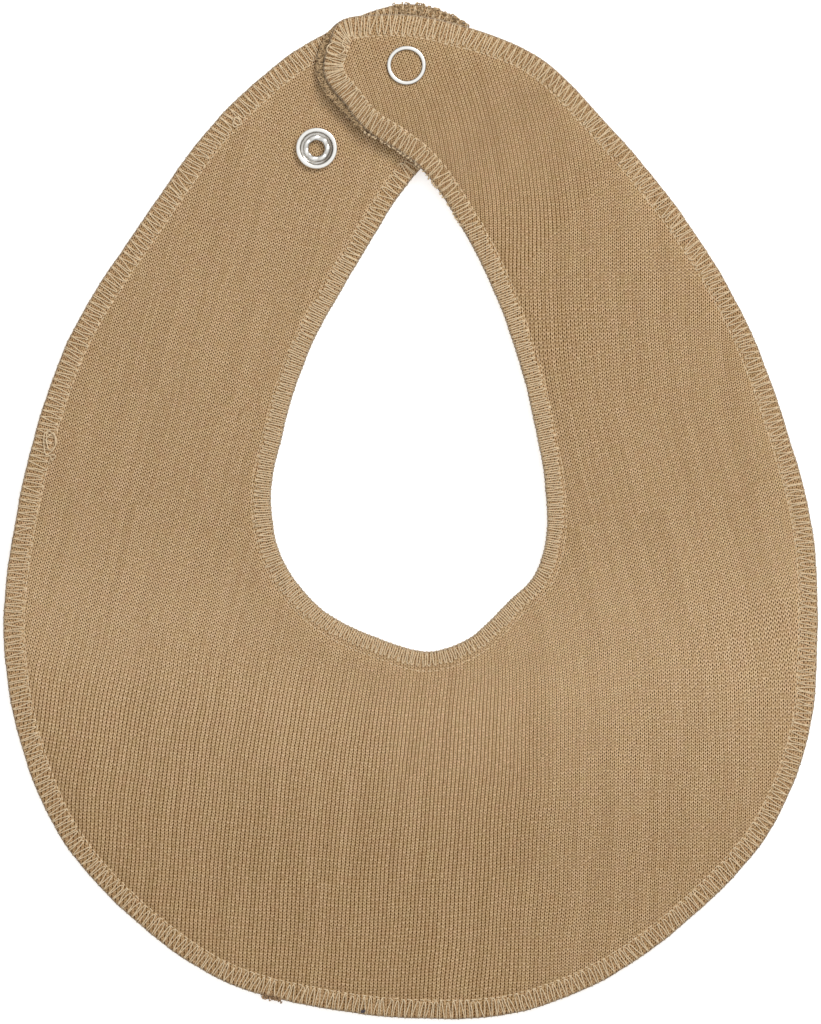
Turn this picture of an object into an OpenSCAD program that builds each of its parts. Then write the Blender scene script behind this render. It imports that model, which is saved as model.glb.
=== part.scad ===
// Infant bib: a jersey face over a looped cotton backing, overlocked all round,
// closed behind the neck by a two-position ring snap.
// It lies flat, face up: x across, y towards the snaps, z through the thickness.

/* [Cloth] */
// Thickness of the looped backing
back_t = 1.2; // [0.6:0.1:2.5]
// Thickness of the jersey face
face_t = 1.1; // [0.5:0.1:2.0]
// Straight steps along each span of the outline
steps = 5; // [2:1:10]

/* [Overlock] */
// Width of the stitching round the outer edge
outer_stitch = 4.9; // [3:0.1:8]
// Width of the stitching round the neck
neck_stitch = 4.6; // [3:0.1:8]
// Depth of a looper thread lying on the cloth
thread_t = 0.3; // [0.1:0.05:0.6]
// Thickness of the threads wrapped over the raw edge
wrap_t = 0.4; // [0.2:0.05:0.8]
// Width of the needle thread
needle_w = 0.5; // [0.2:0.05:1.0]

/* [Snaps] */
// Snap that is closed: place along x
near_x = -1; // [-5:0.5:5]
// Snap that is closed: place along y
near_y = 111.5; // [105:0.5:118]
// Free socket: place along x
far_x = -23.5; // [-30:0.5:-15]
// Free socket: place along y
far_y = 91; // [85:0.5:100]
// Outside radius of an open prong ring
ring_r = 4.8; // [4:0.1:6]
// Width of the band of a prong ring
ring_w = 0.9; // [0.5:0.1:1.5]
// Outside radius of a socket
socket_r = 5.2; // [4:0.1:7]
// Height of a socket over the cloth
socket_h = 1.6; // [1:0.1:2.5]
// Radius of the hole in the socket spring
bore_r = 1.95; // [1.5:0.05:2.5]
// Prongs on each ring
prongs = 6; // [4:1:8]
// Radius of one prong
prong_r = 0.35; // [0.2:0.05:0.5]

/* [Folds] */
// The collar folds about a line across both arms at this y
fold_y = 20; // [10:1:40]
// Largest fold either way, in degrees
fold_max = 120; // [60:5:150]
// The flap bends about a line through this x
flap_x = 30; // [20:1:40]
// and this y
flap_y = 88.5; // [80:0.5:100]

/* [Hidden] */
$fn = 64;

T = back_t + face_t;       // whole cloth
fold_gap = 0.3;            // each side of the collar fold, at mid thickness
flap_gap = 0.15;           // each side of the flap bend
snap_play = 0.3;           // between a socket and the flap over it
stand = T + socket_h + snap_play; // underside of the flap over the closed snap
lap = T + 0.6;             // underside of the flap where it first crosses the arm
ring_bed = 0.7;            // how far a back prong ring sinks into the backing
reach = 260;               // past the cloth on every side
over = 12;                 // above the highest face

// Outline, one loop: outer edge up the left, round the left arm's end, down its
// inner edge, round the neck, round the flap and down the right side.
rim = [
  [4, -127], [-21, -124.5], [-47, -117.5], [-69.5, -102], [-88, -81], [-98, -57],
  [-102, -30], [-99, -2], [-94, 20], [-86, 42.5], [-67.5, 72.5], [-44.5, 102.5],
  [-24, 118.5], [2.5, 127], [14, 122], [19.5, 111], [14.5, 97.5],
  [2, 85.5], [-13.5, 62], [-26, 39], [-32, 20], [-35, 2], [-32, -12],
  [-22, -24.5], [-7, -32], [5, -35], [14, -32], [25, -22], [31, -16],
  [34, -6], [34, 4], [31.5, 20], [26.5, 40], [15.5, 66.5], [2, 86.5],
  [-16, 99], [-23.5, 110], [-19, 122], [-5, 124.5], [15, 121], [32.5, 113.5],
  [49.5, 97], [65.5, 78], [84, 48], [94.5, 20], [100.5, -3], [102, -30],
  [99.5, -57], [90, -80], [71, -101], [45, -119], [24, -126]];
// spans of the outline that cross the collar fold
LEFT_OUT = 8;
LEFT_IN = 20;
RIGHT_IN = 31;
RIGHT_OUT = 44;
n = len(rim);
N = n * steps;

function at(i) = rim[(i + n) % n];
function slope(a, b, c) = let (p = norm(b - a), q = norm(c - b))
  (b - a) / p - (c - a) / (p + q) + (c - b) / q;
function curve(i, t) = let (a = at(i), b = at(i + 1), d = norm(b - a),
  u = slope(at(i - 1), a, b) * d, v = slope(a, b, at(i + 2)) * d)
  a * (2*t*t*t - 3*t*t + 1) + u * (t*t*t - 2*t*t + t)
  + b * (3*t*t - 2*t*t*t) + v * (t*t*t - t*t);
edge = [for (i = [0:n-1]) for (j = [0:steps-1]) curve(i, j / steps)];
function E(k) = edge[(k + 2 * N) % N];
function inward(k) = let (d = E(k + 1) - E(k - 1)) [d[1], -d[0]] / norm(d);
function inset(k, d) = E(k) + d * inward(k);
function ease(t) = let (s = min(1, max(0, t))) s * s * (3 - 2 * s);
// stitch width at a step: narrower round the neck
function sw(k) = let (i = k / steps) outer_stitch + (neck_stitch - outer_stitch)
  * ease((i - 16) / 2) * (1 - ease((i - 32) / 2));

// closed region from spans a to b, set in by the wrap or by the stitch width
module area(a, b, in) polygon([for (k = [a*steps : b*steps])
  inset(k, in == "stitch" ? sw(k) : in == "wrap" ? wrap_t : 0)]);
module apron_area(in) polygon(concat(
  [for (k = [(RIGHT_OUT-1)*steps : (LEFT_OUT+1+n)*steps])
    inset(k, in == "stitch" ? sw(k % N) : wrap_t)],
  [for (k = [(LEFT_IN-1)*steps : (RIGHT_IN+1)*steps])
    inset(k, in == "stitch" ? sw(k) : wrap_t)]));
// strip along the edge from spans a to b, between two depths
module strip(a, b, what)
  polygon(concat(
    [for (k = [a*steps : b*steps]) inset(k, what == "needle" ? sw(k % N) : 0)],
    [for (k = [b*steps : -1 : a*steps]) inset(k, what == "needle" ? sw(k % N) + needle_w
      : what == "band" ? sw(k % N) : wrap_t)]));

// side of the collar fold: +1 the collar, -1 the apron
module beside_fold(side) {
  k = tan(fold_max / 2);
  h = T / 2 + 2;
  translate([0, fold_y, T / 2]) rotate([90, 0, 90]) linear_extrude(reach, center = true)
    polygon([[side*fold_gap, 0], [side*(fold_gap + h*k), h], [side*reach, h],
      [side*reach, -h], [side*(fold_gap + h*k), -h]]);
}
// everything to one side of the flap bend: +1 the flap, -1 the arm
module beside_bend(side) translate([flap_x, flap_y, 0]) rotate([90, 0, 135])
  linear_extrude(reach, center = true)
    polygon([[side*flap_gap, -2], [side*160, -2], [side*160, 20], [side*flap_gap, 20]]);

// underside of the flap, by distance from the bend
function under(u) = lap * ease((u - 5) / 12) + (stand - lap)
  * ease((u - 18) / 13.5) * (1 - ease((u - 44.5) / 10.5));
flap_u = [flap_gap, 5, 7, 9, 11, 13, 15, 17, 21, 24.5, 28, 32, 44, 46, 49, 52, 55, 75];
module flap_slab(lo, hi) translate([flap_x, flap_y, 0]) rotate([90, 0, 135])
  linear_extrude(160, center = true) polygon(concat(
    [for (u = flap_u) [u, under(u) + lo]],
    [for (i = [len(flap_u)-1 : -1 : 0]) [flap_u[i], under(flap_u[i]) + hi]]));

module slab(lo, hi) translate([0, 0, lo]) linear_extrude(hi - lo) children();
module apron_side() intersection() { children(); beside_fold(-1); }
module collar_side() intersection() { children(); beside_fold(1); }
module arm_side() intersection() { collar_side() children(); beside_bend(-1); }

// holes for prongs, and the bed of a prong ring
module prong_set(r, lo, hi) for (i = [0:prongs-1]) rotate(i * 360 / prongs)
  translate([ring_r - ring_w/2, 0, lo]) cylinder(r = r, h = hi - lo);
module ring_band(r0, r1, lo, hi) rotate_extrude() translate([r0, lo]) square([r1 - r0, hi - lo]);
module back_ring_bed() {
  prong_set(prong_r, 0, T);
  ring_band(ring_r - ring_w, ring_r, -1, ring_bed);
}
module near() translate([near_x, near_y, 0]) children();
module far() translate([far_x, far_y, 0]) children();

cloth = [0.70, 0.57, 0.43];
fleece = [0.66, 0.53, 0.39];
cotton = [0.80, 0.68, 0.56];
nickel = [0.86, 0.86, 0.85];

// ---- face ----
module face_cuts(a, b) slab(T - thread_t, T + 1) strip(a, b, "needle");
module front_apron() color(cloth) apron_side() difference() {
  union() {
    slab(back_t, T - thread_t) apron_area("wrap");
    slab(back_t, T) apron_area("stitch");
  }
  face_cuts(RIGHT_OUT - 1, LEFT_OUT + 1 + n);
  face_cuts(LEFT_IN - 1, RIGHT_IN + 1);
}
module front_left_arm() color(cloth) collar_side() difference() {
  union() {
    slab(back_t, T - thread_t) area(LEFT_OUT - 1, LEFT_IN + 1, "wrap");
    slab(back_t, T) area(LEFT_OUT - 1, LEFT_IN + 1, "stitch");
  }
  face_cuts(LEFT_OUT - 1, LEFT_IN + 1);
  near() prong_set(prong_r, 0, T + 1);
  far() prong_set(prong_r, 0, T + 1);
}
module front_right_arm() color(cloth) arm_side() difference() {
  union() {
    slab(back_t, T - thread_t) area(RIGHT_IN - 1, RIGHT_OUT + 1, "wrap");
    slab(back_t, T) area(RIGHT_IN - 1, RIGHT_OUT + 1, "stitch");
  }
  face_cuts(RIGHT_IN - 1, RIGHT_OUT + 1);
}
module front_flap() color(cloth) difference() {
  union() {
    intersection() {
      slab(-1, over) area(RIGHT_IN - 1, RIGHT_OUT + 1, "wrap");
      flap_slab(back_t, T - thread_t);
    }
    intersection() {
      slab(-1, over) area(RIGHT_IN - 1, RIGHT_OUT + 1, "stitch");
      flap_slab(back_t, T);
    }
  }
  intersection() {
    slab(-1, over) strip(RIGHT_IN - 1, RIGHT_OUT + 1, "needle");
    flap_slab(T - thread_t, T + 1);
  }
  near() prong_set(prong_r, stand - 1, stand + T + 1);
}

// ---- looped backing ----
module back_apron() color(fleece) apron_side() union() {
  slab(thread_t, back_t) apron_area("wrap");
  slab(0, back_t) apron_area("stitch");
}
module back_left_arm() color(fleece) collar_side() difference() {
  union() {
    slab(thread_t, back_t) area(LEFT_OUT - 1, LEFT_IN + 1, "wrap");
    slab(0, back_t) area(LEFT_OUT - 1, LEFT_IN + 1, "stitch");
  }
  near() back_ring_bed();
  far() back_ring_bed();
}
module back_right_arm() color(fleece) arm_side() union() {
  slab(thread_t, back_t) area(RIGHT_IN - 1, RIGHT_OUT + 1, "wrap");
  slab(0, back_t) area(RIGHT_IN - 1, RIGHT_OUT + 1, "stitch");
}
module back_flap() color(fleece) difference() {
  union() {
    intersection() {
      slab(-1, over) area(RIGHT_IN - 1, RIGHT_OUT + 1, "wrap");
      flap_slab(thread_t, back_t);
    }
    intersection() {
      slab(-1, over) area(RIGHT_IN - 1, RIGHT_OUT + 1, "stitch");
      flap_slab(0, back_t);
    }
  }
  near() prong_set(prong_r, stand - 1, stand + T + 1);
}

// ---- threads ----
module upper_bit(a, b) union() {
  slab(T - thread_t, T) strip(a, b, "band");
  slab(T / 2, T) strip(a, b, "wrap");
}
module lower_bit(a, b) union() {
  slab(0, thread_t) strip(a, b, "band");
  slab(0, T / 2) strip(a, b, "wrap");
}
module needle_bit(a, b) slab(T - thread_t, T) strip(a, b, "needle");

module upper_looper_apron() color(cotton) apron_side() upper_bit(RIGHT_OUT - 1, LEFT_OUT + 1 + n);
module upper_looper_apron_neck() color(cotton) apron_side() upper_bit(LEFT_IN - 1, RIGHT_IN + 1);
module upper_looper_left_arm() color(cotton) collar_side() upper_bit(LEFT_OUT - 1, LEFT_IN + 1);
module upper_looper_right_arm() color(cotton) arm_side() upper_bit(RIGHT_OUT - 5, RIGHT_OUT + 1);
module upper_looper_right_neck() color(cotton) arm_side() upper_bit(RIGHT_IN - 1, RIGHT_IN + 3);
module upper_looper_flap() color(cotton) union() {
  intersection() {
    slab(-1, over) strip(RIGHT_IN + 1, RIGHT_OUT - 1, "band");
    flap_slab(T - thread_t, T);
  }
  intersection() {
    slab(-1, over) strip(RIGHT_IN + 1, RIGHT_OUT - 1, "wrap");
    flap_slab(T / 2, T);
  }
}
module lower_looper_apron() color(cotton) apron_side() lower_bit(RIGHT_OUT - 1, LEFT_OUT + 1 + n);
module lower_looper_apron_neck() color(cotton) apron_side() lower_bit(LEFT_IN - 1, RIGHT_IN + 1);
module lower_looper_left_arm() color(cotton) collar_side() lower_bit(LEFT_OUT - 1, LEFT_IN + 1);
module lower_looper_right_arm() color(cotton) arm_side() lower_bit(RIGHT_OUT - 5, RIGHT_OUT + 1);
module lower_looper_right_neck() color(cotton) arm_side() lower_bit(RIGHT_IN - 1, RIGHT_IN + 3);
module lower_looper_flap() color(cotton) union() {
  intersection() {
    slab(-1, over) strip(RIGHT_IN + 1, RIGHT_OUT - 1, "band");
    flap_slab(0, thread_t);
  }
  intersection() {
    slab(-1, over) strip(RIGHT_IN + 1, RIGHT_OUT - 1, "wrap");
    flap_slab(0, T / 2);
  }
}
module needle_thread_apron() color(cotton) apron_side() needle_bit(RIGHT_OUT - 1, LEFT_OUT + 1 + n);
module needle_thread_apron_neck() color(cotton) apron_side() needle_bit(LEFT_IN - 1, RIGHT_IN + 1);
module needle_thread_left_arm() color(cotton) collar_side() needle_bit(LEFT_OUT - 1, LEFT_IN + 1);
module needle_thread_right_arm() color(cotton) arm_side() needle_bit(RIGHT_OUT - 5, RIGHT_OUT + 1);
module needle_thread_right_neck() color(cotton) arm_side() needle_bit(RIGHT_IN - 1, RIGHT_IN + 3);
module needle_thread_flap() color(cotton) intersection() {
  slab(-1, over) strip(RIGHT_IN + 1, RIGHT_OUT - 1, "needle");
  flap_slab(T - thread_t, T);
}

// ---- snaps ----
// open ring: a half-round band with prongs standing on its flat side
module prong_ring(length) {
  rotate_extrude() translate([ring_r - ring_w / 2, 0]) intersection() {
    scale([1, 1.5]) circle(r = ring_w / 2);
    translate([-ring_w, 0]) square([2 * ring_w, ring_w]);
  }
  prong_set(prong_r, -length, 0);
}
module flap_prong_ring() color(nickel) near() translate([0, 0, stand + T])
  prong_ring(T + 0.15);
module back_prong_ring() translate([0, 0, ring_bed]) mirror([0, 0, 1])
  prong_ring(T - ring_bed + 1);

// flap side of the snap: a flange with a neck and a rounded head below the spring
module stud() color(nickel) near() difference() {
  rotate_extrude() polygon([[0, T + 0.1], [1.7, T + 0.1], [2.05, T + 0.2], [2.1, T + 0.32],
    [2.05, T + 0.45], [1.75, T + 0.6], [1.75, stand - 0.25], [socket_r - 0.3, stand - 0.25],
    [socket_r - 0.3, stand], [0, stand]]);
  prong_set(prong_r, stand - 0.15, stand + 1);
}

// socket: a rounded rim on a thin floor, with the floor open for the stud's head
module socket_body() difference() {
  rotate_extrude() union() {
    translate([2.3, 0]) square([socket_r - 2.6, 0.3]);
    translate([(socket_r + 4.0) / 2, 0]) {
      translate([-0.6, 0]) square([1.2, socket_h - 0.6]);
      translate([0, socket_h - 0.6]) circle(r = 0.6);
    }
  }
  prong_set(prong_r, -0.5, 1);
}
module ring_spring() difference() {
  rotate_extrude() polygon([[2.5, 0.3], [bore_r + 1.45, 0.3], [bore_r + 1.45, 1.1],
    [bore_r + 1.35, 1.3], [bore_r, 1.3], [bore_r, 0.65], [2.5, 0.65]]);
  for (i = [0:6]) rotate(i * 360 / 7 + 10) translate([bore_r + 1.75, 0, 0]) cylinder(r = 0.45, h = 2);
}
module near_socket() color(nickel) near() translate([0, 0, T]) socket_body();
module near_socket_spring() color(nickel) near() translate([0, 0, T]) ring_spring();
module near_prong_ring() color(nickel) near() back_prong_ring();
module far_socket() color(nickel) far() translate([0, 0, T]) socket_body();
module far_socket_spring() color(nickel) far() translate([0, 0, T]) ring_spring();
module far_prong_ring() color(nickel) far() back_prong_ring();

// ---- draw ----
front_apron();
front_left_arm();
front_right_arm();
front_flap();
back_apron();
back_left_arm();
back_right_arm();
back_flap();
upper_looper_apron();
upper_looper_apron_neck();
upper_looper_left_arm();
upper_looper_right_arm();
upper_looper_right_neck();
upper_looper_flap();
lower_looper_apron();
lower_looper_apron_neck();
lower_looper_left_arm();
lower_looper_right_arm();
lower_looper_right_neck();
lower_looper_flap();
needle_thread_apron();
needle_thread_apron_neck();
needle_thread_left_arm();
needle_thread_right_arm();
needle_thread_right_neck();
needle_thread_flap();
flap_prong_ring();
stud();
near_socket();
near_socket_spring();
near_prong_ring();
far_socket();
far_socket_spring();
far_prong_ring();
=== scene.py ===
import math
import bpy
import numpy as np
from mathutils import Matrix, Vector
from mathutils.geometry import delaunay_2d_cdt


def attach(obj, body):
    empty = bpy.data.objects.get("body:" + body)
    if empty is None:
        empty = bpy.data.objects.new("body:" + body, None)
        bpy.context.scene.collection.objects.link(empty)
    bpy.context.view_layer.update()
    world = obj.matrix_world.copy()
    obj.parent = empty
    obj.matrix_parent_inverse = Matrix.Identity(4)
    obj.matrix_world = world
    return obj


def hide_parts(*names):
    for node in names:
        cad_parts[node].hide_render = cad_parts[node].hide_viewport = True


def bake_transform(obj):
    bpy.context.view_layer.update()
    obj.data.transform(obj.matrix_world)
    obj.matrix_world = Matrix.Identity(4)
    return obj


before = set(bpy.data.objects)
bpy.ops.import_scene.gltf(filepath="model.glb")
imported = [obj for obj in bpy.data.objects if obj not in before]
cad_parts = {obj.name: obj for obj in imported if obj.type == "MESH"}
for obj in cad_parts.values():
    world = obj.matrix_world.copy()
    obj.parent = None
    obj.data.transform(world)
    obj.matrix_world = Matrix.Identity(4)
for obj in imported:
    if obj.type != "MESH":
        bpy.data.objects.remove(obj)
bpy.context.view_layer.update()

MM = 0.001
T = 2.3                     # face and backing together, in mm
MID = T / 2
STAND = T + 1.6 + 0.3       # underside of the flap over the closed snap
NEAR, FAR = (-1.0, 111.5), (-23.5, 91.0)      # the two snap stations
CLEAR = 9.0                 # depth that keeps the edge's shading off thread and yarn
NEEDLE = 5.2                # depth of the needle line taken for places inside a sheet
BEND = (30.0, 88.5)         # middle of the flap's fold, which runs at 45 degrees
S2 = math.sqrt(0.5)

# ------------ outline
RIM = np.array([
    [4, -127], [-21, -124.5], [-47, -117.5], [-69.5, -102], [-88, -81], [-98, -57],
    [-102, -30], [-99, -2], [-94, 20], [-86, 42.5], [-67.5, 72.5], [-44.5, 102.5],
    [-24, 118.5], [2.5, 127], [14, 122], [19.5, 111], [14.5, 97.5],
    [2, 85.5], [-13.5, 62], [-26, 39], [-32, 20], [-35, 2], [-32, -12],
    [-22, -24.5], [-7, -32], [5, -35], [14, -32], [25, -22], [31, -16],
    [34, -6], [34, 4], [31.5, 20], [26.5, 40], [15.5, 66.5], [2, 86.5],
    [-16, 99], [-23.5, 110], [-19, 122], [-5, 124.5], [15, 121], [32.5, 113.5],
    [49.5, 97], [65.5, 78], [84, 48], [94.5, 20], [100.5, -3], [102, -30],
    [99.5, -57], [90, -80], [71, -101], [45, -119], [24, -126]], float)
NR = len(RIM)


def curve(t):
    """Points of the outline at span values t."""
    t = np.asarray(t, float)
    i = np.floor(t).astype(int)
    f = (t - i)[..., None]
    z, a, b, c = (RIM[(i + k) % NR] for k in (-1, 0, 1, 2))
    p, d, q = (np.linalg.norm(y - x, axis=-1, keepdims=True) for x, y in ((z, a), (a, b), (b, c)))
    u = ((a - z) / p - (b - z) / (p + d) + (b - a) / d) * d
    v = ((b - a) / d - (c - a) / (d + q) + (c - b) / q) * d
    return (a * (2 * f**3 - 3 * f**2 + 1) + u * (f**3 - 2 * f**2 + f)
            + b * (3 * f**2 - 2 * f**3) + v * (f**3 - f**2))


_T = np.linspace(0, NR, NR * 200 + 1)
_P = curve(_T)
_S = np.concatenate([[0], np.cumsum(np.linalg.norm(np.diff(_P, axis=0), axis=1))])
LONG = _S[-1]
_TAN = np.roll(_P[:-1], -1, 0) - np.roll(_P[:-1], 1, 0)
_TAN /= np.linalg.norm(_TAN, axis=1)[:, None]
_N = 40                     # the inward normals are averaged over 2 _N + 1 samples, so that offsets stay even
_EVEN = np.ones(2 * _N + 1) / (2 * _N + 1)
_NRM = np.stack([_TAN[:, 1], -_TAN[:, 0]], 1)
_NRM = np.stack([np.convolve(np.concatenate([v[-_N:], v, v[:_N]]), _EVEN, "valid") for v in _NRM.T], 1)
_NRM /= np.linalg.norm(_NRM, axis=1)[:, None]
_NRM = np.vstack([_NRM, _NRM[:1]])


def s_of(t):
    """Distance along the outline at span value t; t may pass the end."""
    t = np.asarray(t, float)
    w = np.floor(t / NR)
    return np.interp(t - w * NR, _T, _S) + w * LONG


def t_of(s):
    """Span value at a distance along the outline, the reverse of s_of."""
    s = np.asarray(s, float)
    w = np.floor(s / LONG)
    return np.interp(s - w * LONG, _S, _T) + w * NR


def at(s, d):
    """The place a distance s along the outline and a depth d in from it."""
    s = np.asarray(s, float)
    q = s % LONG
    p = np.stack([np.interp(q, _S, _P[:, j]) for j in (0, 1)], -1)
    m = np.stack([np.interp(q, _S, _NRM[:, j]) for j in (0, 1)], -1)
    m /= np.linalg.norm(m, axis=-1, keepdims=True)
    return p + m * np.asarray(d, float)[..., None]


def ease(x):
    """0 up to 0, 1 from 1 on, and a smooth rise between."""
    x = np.clip(x, 0, 1)
    return x * x * (3 - 2 * x)


def bump(t, a, b, soft):
    """1 between span values a and b, easing to 0 over soft."""
    return ease((t - a + soft) / soft) * ease((b + soft - t) / soft)


def neckness(t):
    """1 along the neck opening, 0 along the outer edge."""
    return bump(np.asarray(t) % NR, 18.2, 32.6, 0.9)


def lip(t):
    """How far the looped backing shows past the face at the flap's end."""
    return 1.7 * bump(np.asarray(t) % NR, 35.2, 36.5, 0.7)


def broad(t):
    """Width of the outer overlock: widest up the left side and round the flap, narrowest below."""
    t = np.asarray(t, float) % NR
    return 4.35 + 0.45 * bump(t, 5, 12, 2) + 0.75 * bump(t, 34.8, 38.6, 1.2) + 0.1 * bump(t, 39, 43, 2)


def loop_depth(t):
    """How far in from the edge the loopers reach."""
    n = neckness(t)
    t = np.asarray(t, float) % NR
    n = n * (1 - 0.75 * bump(t, 14, 18.6, 0.8)) * (1 - 0.5 * bump(t, 33.2, 36, 0.8))
    return broad(t) * (1 - n) + (4.2 - 0.7 * bump(t, 23.5, 28.5, 1.5)) * n


def needle_depth(t):
    """How far in from the edge the needle line runs."""
    n = neckness(t)
    return (broad(t) + 0.4) * (1 - n) + 4.8 * n


def rough(s):
    """Slight unevenness of the cut edge along its length."""
    k = 2 * math.pi / LONG
    return (0.05 * np.sin(61 * k * s + 1) + 0.03 * np.sin(113 * k * s + 2.2) + 0.02 * np.sin(197 * k * s)
            + 0.02 * np.sin(331 * k * s + 0.7) + 0.02 * np.sin(577 * k * s + 1.9))


def from_bend(x, y):
    """Distance past the flap's fold, towards its tip."""
    return (-(x - BEND[0]) + (y - BEND[1])) * S2


def under(u):
    """Height of the flap's underside: up onto the arm, up again over the closed snap, and down past it."""
    return 2.9 * ease((u - 5) / 12) + (STAND - 2.9) * ease((u - 18) / 13.5) * (1 - ease((u - 44.5) / 10.5))


def droop(u):
    """How far the flap's free edge sinks towards the arm below it."""
    return 0.9 * ease((u - 20) / 8)


# ------------ small fields
def waves(x, y, seed, lo, hi, count):
    """Smooth, seeded unevenness, about -1 to 1."""
    r = np.random.default_rng(seed)
    out = np.zeros(np.shape(x))
    for _ in range(count):
        a, l, ph = r.uniform(0, 2 * math.pi), r.uniform(lo, hi), r.uniform(0, 2 * math.pi)
        out += np.sin(2 * math.pi * (x * math.cos(a) + y * math.sin(a)) / l + ph)
    return out / math.sqrt(count)


def puff(x, y, c, r0):
    """The cloth stands a little proud round a snap that pinches it."""
    r = np.hypot(x - c[0], y - c[1])
    return 0.28 * ease((r - r0) / 1.2) * (1 - ease((r - r0 - 1.2) / 5))


def loft(d, wn):
    """0.3 at the raw edge, 0.8 over the stitches, a groove at the needle line, then 1."""
    e = np.clip(d / 0.9, 0, 1)
    p = 0.3 + 0.5 * np.sqrt(1 - (1 - e) ** 2)
    p = p + 0.2 * ease((d - wn + 0.2) / 2.4)
    return p - 0.09 * np.exp(-((d - wn) / 0.55) ** 2)


def heights(x, y, d, wn, part, lipd=0.0):
    """z of the four faces: back's underside, back's top, face's underside, face's top."""
    u = from_bend(x, y)
    covered = 1.0
    if part == "main":      # the arm lies flat under the flap
        covered = 1 - ease((x + 34) / 6) * ease((y - 84) / 8) * (1 - ease((x - 20) / 8))
    z = under(u) if part == "flap" else np.zeros(np.shape(x))
    if part == "flap":      # the free edge rests on the arm below
        z = z - droop(u) * np.exp(-(d / 3.4) ** 2) * (1 - 0.35 * np.clip(lipd / 1.7, 0, 1))
    free = ease((d - 5) / 6)
    ripple = 0.16 * waves(x, y, 3, 34, 80, 6) + 0.07 * waves(x, y, 5, 12, 25, 6)
    across, along = (x - 62) * 0.62 + (y + 36) * 0.78, (x - 62) * 0.78 - (y + 36) * 0.62
    ridge = 0.35 * np.exp(-(across / 9.0) ** 2) * np.exp(-(along / 34.0) ** 2)
    top = (ripple + ridge) * free * covered
    if part == "main":
        top = top + puff(x, y, FAR, 5.3)
    else:
        top = top + puff(x, y, NEAR, 4.9) + 0.35 * (1 - ease(np.hypot(x - NEAR[0], y - NEAR[1]) / 3.7))
    h = loft(d, wn)
    hf = loft(np.maximum(d - lipd, 0), wn - lipd)
    z3 = z + MID + (T - MID) * hf + top
    z2 = z + MID + 0.04
    thin = np.clip(lipd / 1.7, 0, 1) * (1 - ease((d - 1.4) / 1.2))
    z1 = z + MID - 0.02 - 0.2 * thin
    z0 = z + MID * (1 - h) * (1 - 0.8 * thin) + 0.5 * ease((d - 4.6) / 1.5)
    return z0, z1, z2, z3


_Y = np.linspace(-135, 140, 551)
_DEGREES = (                # lean of the knit's columns on the left and on the right
    4 + 9 * ease((_Y + 100) / 85),
    3.5 * (1 - ease((_Y + 95) / 45)) - 13 * ease((_Y + 58) / 45) * (1 - ease((_Y - 12) / 50))
    - 18 * ease((_Y - 62) / 50),
)
_LEAN = [np.tan(np.radians(k)) for k in _DEGREES]
_RUN = [np.concatenate([[0], np.cumsum((k[1:] + k[:-1]) / 2 * np.diff(_Y))]) for k in _LEAN]


def grain(x, y, part):
    """Knit coordinates: across the columns and along them. They lean outwards up each arm."""
    x, y = np.asarray(x, float), np.asarray(y, float)
    if part == "main":
        e = ease((y + 45) / 45)
        c = 15 * (1 - e) + 10 * ease((y - 40) / 20) + 20 * ease((y - 80) / 12)
        h = 35 * (1 - e) + 20 * e - 12 * ease((y - 20) / 25)
        w = ease((x - c + h) / (2 * h))
    else:
        w = np.ones(np.shape(x))
    fl, fr = (np.interp(y, _Y, k) for k in _RUN)
    tl, tr = (np.interp(y, _Y, k) for k in _LEAN)
    gx = x - fl * (1 - w) - fr * w + 0.16 * waves(x, y, 21, 16, 45, 6)
    gy = y + tl * (x + 60) * (1 - w) + tr * (x - 60) * w + 0.3 * waves(x, y, 22, 16, 45, 6)
    return gx, gy


def ribbed(x, y, part):
    """How much the knit reads as columns (1) rather than a staggered lattice (0)."""
    def spot(cx, cy, rx, ry):
        return np.exp(-((x - cx) / rx) ** 2 - ((y - cy) / ry) ** 2)

    low = ease((-22 - y) / 30) * (1 - 0.75 * ease((x - 18) / 30))
    arm = 0.42 * spot(30, 55, 16, 30) + 0.15 * spot(62, 45, 18, 30)
    end = 0.15 * spot(12, 104, 16, 12)
    base, share = (0.28, 1.5) if part == "flap" else (0.08, ease((x - 8) / 6))
    return np.clip(base + 0.74 * low + (arm + end) * share, 0, 1)


# ------------ cloth layers
SEAM_OUT, SEAM_IN = 41.35, 32.62     # where the two sheets of each layer meet, across one arm
STEP = 1.15        # mesh size of the cloth, in mm
# depths of the mesh's rings along the edge
RINGS = np.array([0, 0.1, 0.3, 0.6, 0.95, 1.5, 2.3, 3.1, 3.9, 4.5, 4.9, 5.3, 5.7, 6.4, 7.4])


def seam_line():
    """Points on the line where two sheets meet, from the outer side to the neck."""
    a = at(s_of(SEAM_OUT), RINGS[-1])
    b = at(s_of(SEAM_IN), RINGS[-1])
    n = max(4, int(round(np.linalg.norm(b - a) / STEP)))
    return a + (b - a) * np.linspace(0, 1, n + 1)[:, None]


def depth_of(p, part):
    """How far places inside a sheet are from its own edge."""
    t0, t1 = (SEAM_OUT - NR - 1.6, SEAM_IN + 1.6) if part == "main" else (SEAM_IN - 1.6, SEAM_OUT + 1.6)
    line = curve(np.linspace(t0, t1, int((t1 - t0) * 40)) % NR)
    out = np.empty(len(p))
    for i in range(0, len(p), 2000):
        out[i:i + 2000] = np.sqrt(((p[i:i + 2000, None] - line[None]) ** 2).sum(-1).min(1))
    return out


def within(g, a, b):
    """Which places lie inside the closed walk with sides a to b."""
    inside = np.zeros(len(g), bool)
    for p, q in zip(a, b):
        hit = ((p[1] > g[:, 1]) != (q[1] > g[:, 1]))
        inside ^= hit & (g[:, 0] < (q[0] - p[0]) * (g[:, 1] - p[1]) / (q[1] - p[1] + 1e-12) + p[0])
    return inside


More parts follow.
